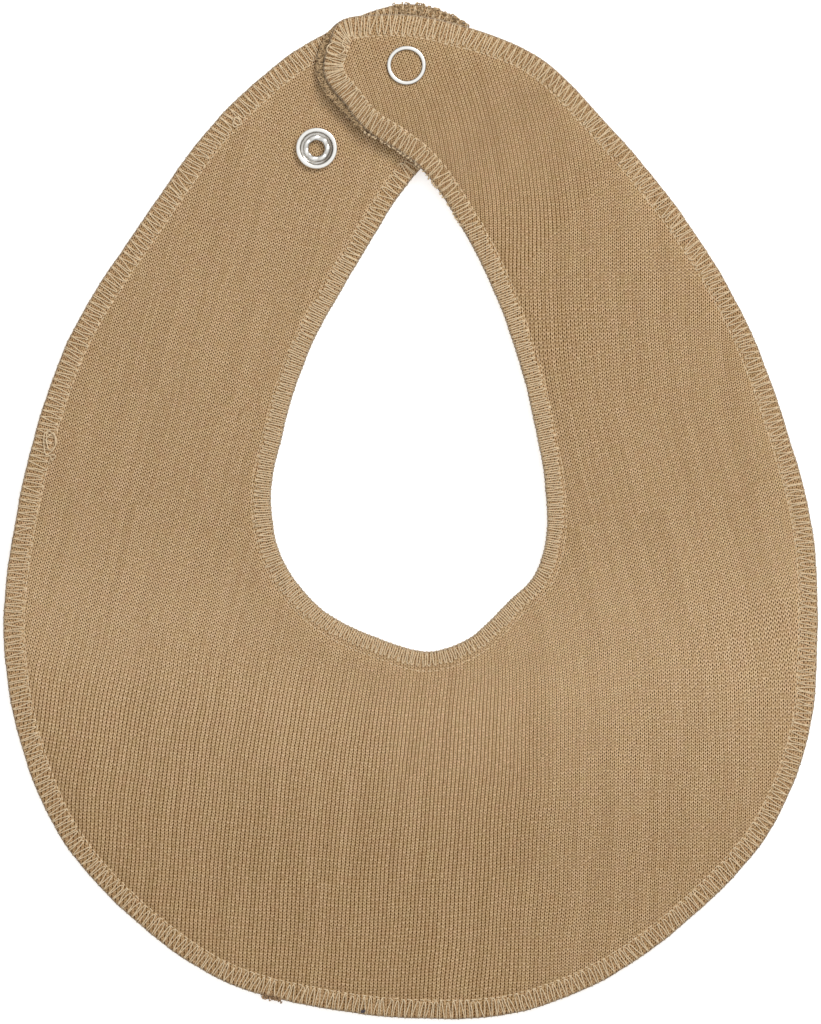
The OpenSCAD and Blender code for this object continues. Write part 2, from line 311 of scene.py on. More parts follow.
def plan(part):
    """Flat mesh of one sheet: points, depths, span values, faces, and the boundary walk."""
    t0, t1 = (SEAM_OUT - NR, SEAM_IN) if part == "main" else (SEAM_IN, SEAM_OUT)
    s0, s1 = float(s_of(t0)), float(s_of(t1))
    n = int(round((s1 - s0) / (STEP * 0.85)))
    s = np.linspace(s0, s1, n + 1)
    pts = np.stack([at(s, d + rough(s) * (1 - ease(d / 4))) for d in RINGS], 1)          # column, ring
    dep = np.repeat(RINGS[None], len(s), 0)
    tt = np.repeat(t_of(s)[:, None], len(RINGS), 1)
    nr = len(RINGS)
    idx = np.arange(len(s) * nr).reshape(len(s), nr)
    faces = [(idx[i, j], idx[i + 1, j], idx[i + 1, j + 1], idx[i, j + 1])
             for i in range(len(s) - 1) for j in range(nr - 1)]
    # closed walk: along the inner ring, then back along the seam. The main sheet's ring ends at the
    # neck, so its seam is walked from there; the flap's ring ends at the outer side.
    mid = seam_line()[1:-1]
    if part == "main":
        mid = mid[::-1]
    base = len(s) * nr
    seam_ids = list(range(base, base + len(mid)))
    walk_pts = np.vstack([pts[:, -1], mid])
    walk_ids = list(idx[:, -1]) + seam_ids
    lo, hi = walk_pts.min(0), walk_pts.max(0)
    gx, gy = np.meshgrid(np.arange(lo[0], hi[0], STEP), np.arange(lo[1], hi[1], STEP * 0.87))
    gx = gx + (np.arange(gx.shape[0]) % 2)[:, None] * STEP * 0.5
    g = np.stack([gx.ravel(), gy.ravel()], 1)
    a, b = walk_pts, np.roll(walk_pts, -1, 0)
    g = g[within(g, a, b)]
    near = np.full(len(g), 1e9)
    for k in range(len(a)):
        d = b[k] - a[k]
        f = np.clip(((g - a[k]) @ d) / (d @ d), 0, 1)
        near = np.minimum(near, np.hypot(*(g - a[k] - f[:, None] * d).T))
    g = g[near > STEP * 0.62]
    flat = np.vstack([walk_pts, g])
    m = len(walk_pts)
    out = delaunay_2d_cdt([Vector(p) for p in flat], [(i, (i + 1) % m) for i in range(m)], [], 0, 1e-7, True)
    vs, fs, orig = out[0], out[2], out[3]
    if len(vs) != len(flat):
        raise RuntimeError(f"the flat mesh of {part} gained points")
    back = np.array([o[0] for o in orig])
    tri = back[np.array([list(f) for f in fs])]
    tri = tri[within(flat[tri].mean(1), a, b)]
    ids = np.concatenate([walk_ids, base + len(mid) + np.arange(len(g))]).astype(int)
    faces += [tuple(f) for f in ids[tri]]
    P = np.vstack([pts.reshape(-1, 2), mid, g])
    D = np.concatenate([dep.ravel(), depth_of(np.vstack([mid, g]), part)])
    TT = np.concatenate([tt.ravel(), np.full(len(mid), SEAM_IN), np.full(len(g), 10.0)])
    edge_walk = list(idx[:, 0]) + list(idx[-1, 1:]) + seam_ids + list(idx[0, :0:-1])
    return P, D, TT, faces, edge_walk, len(s), nr


def mesh_object(name, verts, faces, smooth=True):
    """A mesh in the scene, with its points in metres."""
    me = bpy.data.meshes.new(name)
    me.from_pydata([tuple(v) for v in verts], [], [tuple(int(i) for i in f) for f in faces])
    me.validate()
    if smooth:
        me.polygons.foreach_set("use_smooth", [True] * len(me.polygons))
    me.update()
    o = bpy.data.objects.new(name, me)
    bpy.context.scene.collection.objects.link(o)
    return o


def put(me, name, data, kind="FLOAT"):
    """Stores one number or vector a point, for the materials to read."""
    a = me.attributes.new(name, kind, "POINT")
    if kind == "FLOAT":
        a.data.foreach_set("value", np.asarray(data, np.float32).ravel())
    else:
        a.data.foreach_set("vector", np.asarray(data, np.float32).ravel())


def layer(name, P, D, TT, faces, walk, part, which, cols, nr):
    """One closed sheet: a top, an underside and the cut edge between."""
    wn = needle_depth(TT)
    lipd = lip(TT) if part == "flap" else np.zeros(len(TT))
    x, y = P[:, 0].copy(), P[:, 1].copy()
    z0, z1, z2, z3 = heights(x, y, D, wn, part, lipd)
    hi, lo = (z3, z2) if which == "face" else (z1, z0)
    if which == "face" and part == "flap":    # the face stops short of the backing's lip
        k = cols * nr
        s = s_of(TT[:k])
        depth = np.maximum(D[:k], 0) + lipd[:k] * (1 - ease(D[:k] / 6.4))
        q = at(s, depth)
        x[:k], y[:k] = q[:, 0], q[:, 1]
        _, _, lo, hi = heights(x, y, np.concatenate([depth, D[k:]]), wn, part, lipd)
    if which == "back" and part == "flap":
        soft = (lipd > 0.2) & (D < 3)
        hi = np.where(soft, hi + 0.25 * waves(x, y, 31, 1.4, 3.0, 8) * (D > 0.05), hi)
    V = np.vstack([np.stack([x, y, hi], 1), np.stack([x, y, lo], 1)]) * MM
    m = len(P)
    top = []
    for f in faces:
        a, b, c = P[f[0]], P[f[1]], P[f[2]]
        turn = (b[0] - a[0]) * (c[1] - a[1]) - (b[1] - a[1]) * (c[0] - a[0])
        top.append(tuple(f) if turn > 0 else tuple(f)[::-1])
    down = [tuple(i + m for i in f[::-1]) for f in top]
    steps = list(zip(walk, walk[1:] + walk[:1]))
    if sum(P[a][0] * P[b][1] - P[b][0] * P[a][1] for a, b in steps) < 0:
        wall = [(b, b + m, a + m, a) for a, b in steps]
    else:
        wall = [(a + m, b + m, b, a) for a, b in steps]
    o = mesh_object(name, V, top + down + wall)
    rounded = {i for i in walk if i % nr == 0 and i < cols * nr}      # the cut edge; the seam stays sharp
    crease = {frozenset((a + k, b + k)) for a, b in steps for k in (0, m) if not {a, b} <= rounded}
    ends = np.empty(len(o.data.edges) * 2, int)
    o.data.edges.foreach_get("vertices", ends)
    o.data.edges.foreach_set("use_edge_sharp", [frozenset(e) in crease for e in ends.reshape(-1, 2).tolist()])
    gx, gy = grain(np.concatenate([P[:, 0]] * 2), np.concatenate([P[:, 1]] * 2), part)
    put(o.data, "grain", np.stack([gx, gy, np.concatenate([hi, lo])], 1), "FLOAT_VECTOR")
    put(o.data, "depth", np.concatenate([D, D]))
    put(o.data, "ribbed", np.concatenate([ribbed(P[:, 0], P[:, 1], part)] * 2))
    ringed = D < 7.5        # only the rings know their place along the edge
    reach = np.where(ringed, loop_depth(np.where(ringed, TT, 0.0)), 4.5) + lipd
    put(o.data, "stitch", np.concatenate([reach, reach]))
    return o


# ------------ threads
def tube(path, radius, sides=6):
    """Points and faces of a tube along a path, and where each point lies along and around it."""
    path = np.asarray(path, float)
    n = len(path)
    t = np.gradient(path, axis=0)
    t /= np.linalg.norm(t, axis=1)[:, None] + 1e-12
    a = np.zeros((n, 3))
    v = np.cross(t[0], [0, 0, 1.0])
    if np.linalg.norm(v) < 1e-3:
        v = np.cross(t[0], [0, 1.0, 0])
    v /= np.linalg.norm(v)
    for i in range(n):
        v = v - t[i] * (v @ t[i])
        v /= np.linalg.norm(v) + 1e-12
        a[i] = v
    b = np.cross(t, a)
    ang = np.arange(sides) * 2 * math.pi / sides
    verts = (a[:, None] * np.cos(ang)[:, None] + b[:, None] * np.sin(ang)[:, None]) * radius + path[:, None]
    verts = verts.reshape(-1, 3)
    i = np.arange(n - 1)[:, None] * sides
    j = np.arange(sides)[None]
    k = (j + 1) % sides
    f = np.stack([i + j, i + k, i + sides + k, i + sides + j], -1).reshape(-1, 4)
    caps = [tuple(range(sides))[::-1], tuple((n - 1) * sides + q for q in range(sides))]
    along = np.concatenate([[0], np.cumsum(np.linalg.norm(np.diff(path, axis=0), axis=1))])
    return verts, f, caps, np.repeat(along, sides), np.tile(ang, n)


def thread(name, path, radius, sides=6, deep=None):
    """A thread along a path; deep is how far in from the edge each point of the path lies."""
    verts, quads, caps, along, around = tube(path, radius, sides)
    o = mesh_object(name, verts * MM, quads.tolist() + caps)
    put(o.data, "along", along)
    put(o.data, "around", around)
    put(o.data, "depth", np.full(len(verts), CLEAR) if deep is None else np.repeat(deep, sides))
    return o


def smooth(path, times):
    """Catmull-Rom through the points, with times points a span."""
    p = np.vstack([2 * path[0] - path[1], path, 2 * path[-1] - path[-2]])
    u = np.arange(times) / times
    a, b, c, d = p[:-3, None], p[1:-2, None], p[2:-1, None], p[3:, None]
    u = u[None, :, None]
    q = 0.5 * (2 * b + (c - a) * u + (2 * a - 5 * b + 4 * c - d) * u**2 + (3 * b - a - 3 * c + d) * u**3)
    return np.vstack([q.reshape(-1, path.shape[1]), path[-1:]])


def surface(s, d, part, side):
    """z of the cloth's face (side 1) or back (side -1) at a place along and in from the edge."""
    t = t_of(s)
    p = at(s, d)
    li = lip(t) if part == "flap" else np.zeros(np.shape(t))
    z0, z1, z2, z3 = heights(p[..., 0], p[..., 1], np.maximum(d, 0), needle_depth(t), part, li)
    return p, (z3 if side > 0 else z0)


TR = 0.155                  # radius of a sewing thread
PITCH, NECK_PITCH = 1.66, 1.16       # from one stitch to the next
# a needle stitch: along in pitches, height over the cloth in thread radii
DIP = ((0.02, -2.4), (0.2, -0.2), (0.36, 0.6), (0.5, 0.75), (0.64, 0.6), (0.8, -0.2), (0.98, -2.4))


def stitches(s0, s1):
    """Where each stitch of the overlock starts, closer together round the neck."""
    out, s = [], s0
    while s < s1:
        out.append(s)
        n = float(neckness(t_of(s)))
        s += PITCH * (1 - n) + NECK_PITCH * n
    return np.array(out)


def hairpin(t):
    """Where the looper's legs lie side by side rather than in a zigzag."""
    t = np.asarray(t, float) % NR
    return (0.15 + 0.65 * bump(t, 18.6, 33.0, 1.0) + 0.25 * bump(t, 35, 39, 1.0)
            + 0.3 * (1 - bump(t, 4, 48, 3)))


def looper(s0, s1, part, side, seed):
    """Path of a looper thread on one side of the cloth, as points (x, y, z), and their depths."""
    r = np.random.default_rng(seed)
    st = stitches(s0, s1)
    pts = []
    slow = 0.0
    for i in range(len(st) - 1):
        a, p = st[i], st[i + 1] - st[i]
        t = float(t_of(a))
        n = float(neckness(t))
        li = float(lip(t)) if part == "flap" else 0.0
        w = float(loop_depth(t)) * (1 + r.normal(0, 0.045))
        slow = 0.8 * slow + r.normal(0, 0.12)
        c = 0.5 + np.clip(slow + r.normal(0, 0.10), -0.55, 0.55) * (1 - 0.6 * n)
        head = r.uniform(0.14, 0.30)
        pin = np.clip(hairpin(t) + r.normal(0, 0.22), 0, 1)      # 0: a zigzag, 1: two legs side by side
        foot0, foot1 = 0.04 * (1 - pin) + 0.24 * pin, 0.96 * (1 - pin) + 0.74 * pin
        j = r.normal(0, 0.05, 6)
        sink = r.uniform(0.0, 0.5)
        # along in pitches, depth in stitch widths, height over the cloth in thread radii
        shape = [
            (0.00, 0.02, -3.0),
            (foot0 * 0.6 + j[0], 0.045, -0.3),
            (foot0 + j[0], 0.14, 0.5),
            ((foot0 + c - head) * 0.5 + j[1] * 0.6, 0.5, 0.9 - sink * 0.3),
            (c - head * 0.95 + j[2], 0.86, 0.95),
            (c - head * 0.4, 1.0, 0.7),
            (c + head * 0.4, 1.01, 0.6),
            (c + head * 0.95 + j[3], 0.86, 1.0),
            ((foot1 + c + head) * 0.5 + j[4] * 0.6, 0.5, 0.95),
            (foot1 + j[5], 0.14, 0.5),
            (0.4 + foot1 * 0.6 + j[5], 0.045, -0.3),
        ]
        for u, d, h in shape:
            pts.append((a + u * p, li + d * w, h, d * w))
    q = smooth(np.array(pts), 2)
    d = np.maximum(q[:, 1], 0.02)
    xy, z = surface(q[:, 0], d, part, side)
    xy = at(q[:, 0], d + rough(q[:, 0]) * (1 - ease(d / 4)))
    wrap = ease((-q[:, 2] - 0.8) / 2.0)
    u = from_bend(xy[:, 0], xy[:, 1])
    zmid = (under(u) - droop(u) if part == "flap" else 0) + MID
    zz = (z + side * TR * 0.8 * np.clip(q[:, 2], -1, 1.2)) * (1 - wrap) + (zmid + side * 0.1) * wrap
    xy = xy - (at(q[:, 0], np.full(len(q), 1.0)) - at(q[:, 0], np.zeros(len(q)))) * (0.12 * wrap)[:, None]
    return np.column_stack([xy, zz]), np.maximum(q[:, 3], 0)


def needle(s0, s1, part, side, seed):
    """Path of the needle thread, as looper gives it."""
    r = np.random.default_rng(seed)
    st = stitches(s0, s1)
    pts = []
    for i in range(len(st) - 1):
        a, p = st[i], st[i + 1] - st[i]
        d = float(needle_depth(t_of(a))) + r.normal(0, 0.05)
        if part == "flap":
            d += 0.7 * float(lip(t_of(a)))
        low = r.uniform(0.0, 0.9)
        for u, h in DIP:
            pts.append((a + u * p, d + (u - 0.5) * 0.15, h - low))
    q = smooth(np.array(pts), 2)
    xy, z = surface(q[:, 0], q[:, 1], part, side)
    return np.column_stack([xy, z + side * TR * q[:, 2]]), np.full(len(q), CLEAR)


def loops(name, base, out, width, height, radius, seed, steps=6, sides=4):
    """Many small arches of yarn at once: base points, the way each stands, and its size."""
    r = np.random.default_rng(seed)
    n = len(base)
    out = out / np.linalg.norm(out, axis=1)[:, None]
    e = r.normal(0, 1, (n, 3))
    e -= out * (e * out).sum(1)[:, None]
    e /= np.linalg.norm(e, axis=1)[:, None]
    f = np.cross(e, out)
    u = np.linspace(-1, 1, steps + 1)
    wob = r.normal(0, 0.12, (n, steps + 1)) * (1 - np.abs(u)) * height[:, None]
    path = (base[:, None] + e[:, None] * (u * (1.25 - 0.45 * u**2))[None, :, None] * width[:, None, None] / 2
            + out[:, None] * (1 - u**2)[None, :, None] * height[:, None, None] + f[:, None] * wob[..., None])
    t = np.gradient(path, axis=1)
    t /= np.linalg.norm(t, axis=2)[..., None]
    m = f[:, None] - t * (t * f[:, None]).sum(-1)[..., None]
    m /= np.linalg.norm(m, axis=2)[..., None]
    k = np.cross(t, m)
    ang = np.arange(sides) * 2 * math.pi / sides
    ring = m[:, :, None] * np.cos(ang)[:, None] + k[:, :, None] * np.sin(ang)[:, None]
    v = (path[:, :, None] + radius * ring).reshape(-1, 3)
    per = (steps + 1) * sides
    i = (np.arange(steps) * sides)[:, None]
    j = np.arange(sides)[None]
    q = np.stack([i + j, i + (j + 1) % sides, i + sides + (j + 1) % sides, i + sides + j], -1).reshape(-1, 4)
    if sides == 4:          # four-sided yarn has its ends closed
        q = np.vstack([q, np.array([range(sides)[::-1], range(steps * sides, (steps + 1) * sides)])])
    fs = (q[None] + (np.arange(n) * per)[:, None, None]).reshape(-1, 4)
    o = mesh_object(name, v * MM, fs.tolist())
    put(o.data, "depth", np.full(n * per, CLEAR))
    put(o.data, "along", np.tile(np.repeat(np.arange(steps + 1) * 0.25, sides), n))
    put(o.data, "around", np.tile(ang, n * (steps + 1)))
    put(o.data, "shade", np.repeat(r.uniform(0, 1, n), per))
    put(o.data, "tip", np.tile(np.repeat(1 - u**2, sides), n))
    return o


# ------------ materials
class Nodes:
    """Short hand for building a node tree."""

    def __init__(self, name):
        self.mat = bpy.data.materials.new(name)
        self.mat.use_nodes = True
        self.t = self.mat.node_tree
        self.t.nodes.clear()
        self.out = self.new("OutputMaterial")
        self.bsdf = self.new("BsdfPrincipled")
        self.t.links.new(self.bsdf.outputs[0], self.out.inputs[0])

    def new(self, kind):
        return self.t.nodes.new("ShaderNode" + kind)

    def plug(self, socket, value):
        if isinstance(value, bpy.types.NodeSocket):
            self.t.links.new(value, socket)
        elif value is not None:
            socket.default_value = value

    def m(self, op, a, b=None, c=None, clamp=False):
        n = self.new("Math")
        n.operation, n.use_clamp = op, clamp
        for s, v in zip(n.inputs, (a, b, c)):
            self.plug(s, v)
        return n.outputs[0]

    def fade(self, x, width):
        """1 at 0, falling to 0 over width."""
        return self.m("SUBTRACT", 1.0, self.m("DIVIDE", x, width), clamp=True)

    def vary(self, base, x, amount):
        """base, moved by amount times how far x is from the middle."""
        return self.m("MULTIPLY_ADD", self.m("SUBTRACT", x, 0.5), amount, base)

    def attr(self, name, out="Fac"):
        n = self.new("Attribute")
        n.attribute_name = name
        return n.outputs[out]

    def split(self, v):
        n = self.new("SeparateXYZ")
        self.plug(n.inputs[0], v)
        return n.outputs[0], n.outputs[1], n.outputs[2]

    def join(self, x, y, z=0.0):
        n = self.new("CombineXYZ")
        for s, v in zip(n.inputs, (x, y, z)):
            self.plug(s, v)
        return n.outputs[0]

    def noise(self, vec, scale, detail, rough, out=0):
        n = self.new("TexNoise")
        self.plug(n.inputs["Vector"], vec)
        n.inputs["Scale"].default_value = scale
        n.inputs["Detail"].default_value = detail
        n.inputs["Roughness"].default_value = rough
        return n.outputs[out]

    def white(self, vec):
        n = self.new("TexWhiteNoise")
        n.noise_dimensions = "3D"
        self.plug(n.inputs["Vector"], vec)
        return n.outputs["Value"]

    def voronoi(self, vec, scale, rand):
        n = self.new("TexVoronoi")
        self.plug(n.inputs["Vector"], vec)
        n.inputs["Scale"].default_value = scale
        n.inputs["Randomness"].default_value = rand
        return n.outputs["Distance"]

    def ramp(self, fac, stops):
        n = self.new("ValToRGB")
        self.plug(n.inputs[0], fac)
        e = n.color_ramp.elements
        while len(e) < len(stops):
            e.new(0.5)
        for k, (p, c) in zip(e, stops):
            k.position, k.color = p, (*c, 1)
        return n.outputs[0]

    def mix(self, fac, a, b, kind="MIX"):
        n = self.new("Mix")
        n.data_type, n.blend_type = "RGBA", kind
        self.plug(n.inputs[0], fac)
        self.plug(n.inputs[6], a if isinstance(a, bpy.types.NodeSocket) else (*a, 1))
        self.plug(n.inputs[7], b if isinstance(b, bpy.types.NodeSocket) else (*b, 1))
        return n.outputs[2]

    def bump(self, height, strength, distance):
        n = self.new("Bump")
        n.inputs["Strength"].default_value = strength
        n.inputs["Distance"].default_value = distance
        self.plug(n.inputs["Height"], height)
        return n.outputs[0]

    def obj(self):
        n = self.new("TexCoord")
        return n.outputs["Object"]

    def set(self, **kw):
        for k, v in kw.items():
            self.plug(self.bsdf.inputs[k.replace("_", " ")], v)


def lin(r, g, b):
    """sRGB 0-255 to linear."""
    return tuple(c / 255 / 12.92 if c <= 10 else ((c / 255 + 0.055) / 1.055) ** 2.4 for c in (r, g, b))


def jersey():
    """Interlock knit: a dark pinhole between stitches, in a staggered lattice or in columns."""
    n = Nodes("jersey")
    gx, gy, _ = n.split(n.attr("grain", "Vector"))
    rib = n.attr("ribbed")
    here = n.join(gx, gy)
    wx, wy, _ = n.split(n.noise(here, 0.45, 1, 0.5, out=1))
    a = n.vary(gx, wx, 0.30)
    b = n.m("MULTIPLY_ADD", n.m("SUBTRACT", wy, 0.5), 0.5, n.m("DIVIDE", gy, 0.80))

    def holes(p, q, rx, ry, low, high):
        u = n.m("DIVIDE", n.m("SUBTRACT", n.m("FRACT", p), 0.5), rx)
        v = n.m("DIVIDE", n.m("SUBTRACT", n.m("FRACT", q), 0.5), ry)
        d = n.m("ADD", n.m("MULTIPLY", u, u), n.m("MULTIPLY", v, v))
        k = n.m("SUBTRACT", 1.0, d, clamp=True)
        w = n.white(n.join(n.m("FLOOR", p), n.m("FLOOR", q)))
        return n.m("MULTIPLY", k, n.m("MULTIPLY_ADD", w, high - low, low))

    edge = holes(a, b, 0.19, 0.36, 0.7, 1.55)
    heart = holes(n.m("ADD", a, 0.5), n.m("ADD", b, 0.5), 0.18, 0.34, 0.65, 1.5)
    heart = n.m("MULTIPLY", heart, n.m("SUBTRACT", 1.0, n.m("MULTIPLY", rib, 0.68)))
    edge = n.m("MULTIPLY", edge, n.m("MULTIPLY_ADD", rib, -0.26, 0.94))
    wave = n.m("COSINE", n.m("MULTIPLY", n.m("SUBTRACT", a, 0.5), math.pi))
    line = n.m("POWER", n.m("ABSOLUTE", wave), 3.0)
    line = n.m("MULTIPLY", line, n.m("MULTIPLY", rib, 0.34))
    s = n.m("MULTIPLY", n.m("ABSOLUTE", n.m("SUBTRACT", n.m("FRACT", a), 0.5)), 2.0)
    strand = n.m("SINE", n.m("MULTIPLY", n.m("FRACT", n.m("MULTIPLY_ADD", s, -0.5, b)), math.pi))
    dark = n.m("ADD", n.m("ADD", edge, heart), line)
    fine = n.noise(here, 3.4, 2, 0.7)
    soft = n.noise(here, 0.9, 2, 0.5)
    column = n.white(n.join(n.m("FLOOR", n.m("ADD", a, 0.5)), n.m("FLOOR", n.m("DIVIDE", gy, 30.0))))
    cell = n.white(n.join(n.m("FLOOR", n.m("ADD", a, 0.5)), n.m("FLOOR", b)))
    tone = n.m("MULTIPLY_ADD", dark, -1.05, 0.61)
    tone = n.m("MULTIPLY_ADD", strand, 0.22, tone)
    tone = n.vary(tone, fine, 0.95)
    tone = n.vary(tone, soft, 0.14)
    tone = n.vary(tone, column, 0.05)
    tone = n.vary(tone, cell, 0.10)
    belly_highlight = n.fade(n.m("ABSOLUTE", n.m("ADD", gy, 42.0)), 40.0)      # a painted soft highlight, a little lighter below the neck
    tone = n.m("MULTIPLY_ADD", belly_highlight, 0.08, tone)
    # the tone steps evenly from a deep brown to a pale tan
    shades = (74, 44, 6), (122, 89, 44), (168, 135, 94), (210, 177, 136), (250, 218, 178)
    colour = n.ramp(tone, [(i / 4, lin(*c)) for i, c in enumerate(shades)])
    patch = n.noise(here, 0.30, 3, 0.65, out=1)
    colour = n.mix(0.06, colour, patch, "OVERLAY")
    depth = n.attr("depth")
    reach = n.m("MULTIPLY_ADD", n.attr("stitch"), 0.9, -0.5)
    band = n.fade(n.m("SUBTRACT", depth, reach), 0.8)                # darker under the stitches: painted shade of the threads over the cloth
    colour = n.mix(n.m("MULTIPLY", band, 0.42), colour, lin(216, 204, 188), "MULTIPLY")
    # painted shade along the cut edge, where the cloth rounds over
    rim = n.fade(depth, 0.55)
    colour = n.mix(n.m("MULTIPLY", rim, 0.8), colour, lin(146, 130, 112))
    relief = n.m("MULTIPLY_ADD", dark, -1.0, n.m("MULTIPLY", strand, 0.25))
    n.set(Base_Color=colour, Roughness=0.93, Specular_IOR_Level=0.10, Normal=n.bump(relief, 0.45, 0.00018))
    n.set(Sheen_Weight=0.06, Sheen_Roughness=0.6)
    return n.mat


def looped():
    """The ground of the looped backing, seen between its loops."""
    n = Nodes("looped_cotton")
    g = n.attr("grain", "Vector")
    d = n.voronoi(g, 0.95, 0.9)
    f = n.noise(g, 2.2, 3, 0.65)
    h = n.m("ADD", n.m("MULTIPLY", n.m("SUBTRACT", 0.75, d), 1.0), n.m("MULTIPLY", f, 0.6))
    colour = n.ramp(h, [(0.1, lin(100, 76, 48)), (0.5, lin(152, 124, 88)), (0.95, lin(196, 168, 128))])
    depth = n.attr("depth")
    # painted shade along the cut edge, where the cloth rounds over
    rim = n.fade(depth, 0.75)
    colour = n.mix(n.m("MULTIPLY", rim, 0.7), colour, lin(120, 98, 76))
    n.set(Base_Color=colour, Roughness=0.95, Specular_IOR_Level=0.1, Normal=n.bump(h, 0.9, 0.0004))
    n.set(Sheen_Weight=0.15, Sheen_Roughness=0.5)
    return n.mat


def terry(name, deep, light):
    """The yarn of the loops: painted shade at the foot and a painted highlight at the top of each loop."""
    n = Nodes(name)
    f = n.noise(n.obj(), 1300.0, 2, 0.6)
    # tip gives the painted shade at each loop's foot and the painted light at its top
    k = n.m("MULTIPLY_ADD", n.attr("tip"), 0.62, n.m("MULTIPLY", n.attr("shade"), 0.30))
    k = n.vary(k, f, 0.5)
    n.set(Base_Color=n.ramp(k, [(0.05, deep), (0.95, light)]), Roughness=0.95, Specular_IOR_Level=0.1)
    n.set(Sheen_Weight=0.15, Sheen_Roughness=0.5)
    return n.mat


def cotton(name, light, dark):
    """Two-ply thread with a visible twist, and painted shade where it turns over the edge."""
    n = Nodes(name)
    al, an = n.attr("along"), n.attr("around")
    tw = n.m("SINE", n.m("MULTIPLY_ADD", al, 7.5, n.m("MULTIPLY", an, 2.0)))
    v = n.noise(n.obj(), 900.0, 3, 0.6)
    f = n.m("MULTIPLY_ADD", tw, 0.16, v)
    colour = n.ramp(f, [(0.25, dark), (0.75, light)])
    # painted shade where the thread turns over the cut edge
    rim = n.fade(n.m("SUBTRACT", n.attr("depth"), 0.12), 0.6)
    colour = n.mix(n.m("MULTIPLY", rim, 0.7), colour, lin(156, 138, 112))
    n.set(Base_Color=colour, Roughness=0.75, Specular_IOR_Level=0.22, Normal=n.bump(tw, 0.35, 0.00006))
    n.set(Sheen_Weight=0.1, Sheen_Roughness=0.5)
    return n.mat


def nickel():
    """Bright plated metal, darkened by painted shade where the attribute "dull" says."""
    n = Nodes("nickel")
    o = n.obj()
    v = n.noise(o, 700.0, 4, 0.6)
    painted_shade = n.m("MULTIPLY", n.attr("painted_shade"), n.m("MULTIPLY_ADD", n.noise(o, 1500.0, 2, 0.6), 0.6, 0.7))
    # the second colour is the painted shade's
    bright, shade_colour = (0.96, 0.945, 0.90), (0.32, 0.28, 0.235)
    n.set(Base_Color=n.mix(painted_shade, bright, shade_colour), Metallic=1.0,
          Roughness=n.m("MULTIPLY_ADD", v, 0.12, 0.24), Normal=n.bump(v, 0.12, 0.00004))
    return n.mat


# ------------ turned metal parts
def lathe(profile, place, segs=96, closed=True, ripple=None):
    """Turns (r, z) points round a vertical axis. ripple(angle, r, z) may move them."""
    p = np.array(profile, float)
    a = np.arange(segs) * 2 * math.pi / segs
    r = np.repeat(p[None, :, 0], segs, 0)
    z = np.repeat(p[None, :, 1], segs, 0)
    if ripple:
        r, z = ripple(a[:, None], r, z)
    v = np.stack([r * np.cos(a)[:, None] + place[0], r * np.sin(a)[:, None] + place[1], z], -1).reshape(-1, 3)
    m = len(p)
    f = []
    for i in range(segs):
        k = (i + 1) % segs
        for j in range(m if closed else m - 1):
            q = (j + 1) % m
            f.append((i * m + j, k * m + j, k * m + q, i * m + q))
    return v, f


def arc(cx, cz, rx, rz, a0, a1, n):
    """Part of an ellipse as (r, z) points, from a0 to a1 degrees."""
    turn = [math.radians(a) for a in np.linspace(a0, a1, n)]
    return [(cx + rx * math.cos(a), cz + rz * math.sin(a)) for a in turn]


def merge(name, parts, body, nodes, painted_shade=None):
    """One metal piece out of several lathed ones; dull(points) says where shade is painted on it."""
    vs, fs, off = [], [], 0
    for v, f in parts:
        vs.append(np.asarray(v))
        fs += [tuple(int(i) + off for i in q) for q in f]
        off += len(v)
    o = mesh_object(name, np.vstack(vs) * MM, fs)
    o.data.materials.append(mat_metal)
    put(o.data, "painted_shade", painted_shade(np.vstack(vs)) if painted_shade else np.zeros(off))
    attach(o, body)
    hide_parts(*nodes)


def prongs(place, z0, z1):
    """Six pins that go through the cloth from a ring to its other half."""
    r, size = 4.35, 0.3
    profile = [(0.0, z0), (size, z0), (size, z1 - 0.15), (size * 0.6, z1), (0.0, z1)]
    out = []
    for i in range(6):
        a = i * math.pi / 3
        c = (place[0] + r * math.cos(a), place[1] + r * math.sin(a))
        out.append(lathe(profile, c, 10, closed=False))
    return out


mat_face, mat_back = jersey(), looped()
mat_thread = cotton("sewing_thread", lin(250, 228, 192), lin(214, 186, 146))
mat_loops = terry("terry_yarn", lin(104, 74, 46), lin(196, 162, 124))
mat_lip = terry("terry_lip", lin(126, 100, 64), lin(222, 192, 150))
mat_metal = nickel()

# ------------ cloth
def fold(o, part):
    """Bakes a piece's placement into its mesh; it bends nothing."""
    if part == "main":
        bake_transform(o)
        return
    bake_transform(o)


def dress(o, mat, slot, nodes, part):
    """Gives a piece of cloth, thread or yarn its material, hides its CAD nodes and bakes its placement."""
    o.data.materials.append(mat)
    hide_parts(*nodes)
    fold(o, part)
    return o


def polygon_area(q):
    return abs(sum(a[0] * b[1] - b[0] * a[1] for a, b in zip(q, [*q[1:], q[0]]))) / 2


CAD_PARTS = {"main": ("apron", "left_arm", "right_arm"), "flap": ("flap",)}
LAYERS = (("face", "jersey", mat_face, "jersey", "front_"),
          ("back", "backing", mat_back, "looped_cotton", "back_"))
sheets, outlines = {}, {}
for part in ("main", "flap"):
    P, D, TT, faces, walk, cols, nr = plan(part)
    flat = 0.0
    for f in faces:
        flat += polygon_area(P[list(f)])
    for which, stem, mat, slot, cad_stem in LAYERS:
        o = layer(f"{stem}_{part}", P, D, TT, faces, walk, part, which, cols, nr)
        dress(o, mat, slot, [cad_stem + k for k in CAD_PARTS[part]], part)
        sheets[which, part] = (o, flat * 1e-6, P.min(0), P.max(0))
    outlines[part] = P[list(walk)]

